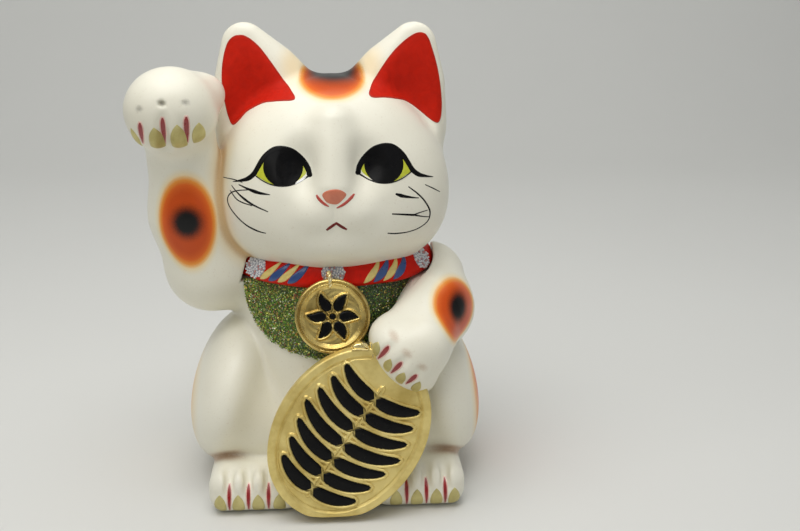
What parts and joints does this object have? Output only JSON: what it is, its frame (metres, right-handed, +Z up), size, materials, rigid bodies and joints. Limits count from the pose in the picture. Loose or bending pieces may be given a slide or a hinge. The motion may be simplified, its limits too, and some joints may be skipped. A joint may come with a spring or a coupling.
{
  "type": "beckoning cat figurine",
  "caption": "Seated glazed-ceramic beckoning cat with one paw raised and the other holding an oval coin, standing on a flat base.",
  "frame": {"origin": "middle of the flat base, on the surface that it stands on, below the middle of the neck", "axes": "+Z up; the cat faces -Y; its own right side, with the raised paw, is on -X"},
  "size_m": [0.1864, 0.1596, 0.2498],
  "materials": {
    "ivory_glaze": "gloss, warm ivory, airbrushed tan in the creases",
    "bare_biscuit": "matte, unglazed fired clay",
    "red_enamel": "gloss vermilion with painted blue and cream strokes",
    "raised_white": "gloss white slip dots",
    "green_glitter": "coarse green glitter grains",
    "gold_lustre": "satin gold lustre",
    "black_gloss": "gloss black",
    "olive_gold": "satin olive gold"
  },
  "bodies": {
    "root": {"body_casting": "ivory_glaze", "base_tile": "bare_biscuit", "head_casting": "ivory_glaze", "right_ear": "ivory_glaze", "left_ear": "ivory_glaze", "raised_arm": "ivory_glaze", "lowered_arm": "ivory_glaze", "right_foot": "ivory_glaze", "left_foot": "ivory_glaze", "tail": "ivory_glaze", "collar": "red_enamel", "collar_blossoms": "raised_white", "bib": "green_glitter", "bell": "gold_lustre", "bell_inlay": "black_gloss", "bell_loop": "gold_lustre", "bell_ribbon": "gold_lustre", "koban": "gold_lustre", "koban_inlay": "black_gloss", "raised_paw_claws": "olive_gold", "lowered_paw_claws": "olive_gold", "right_foot_claws": "olive_gold", "left_foot_claws": "olive_gold"}
  },
  "joints": []
}
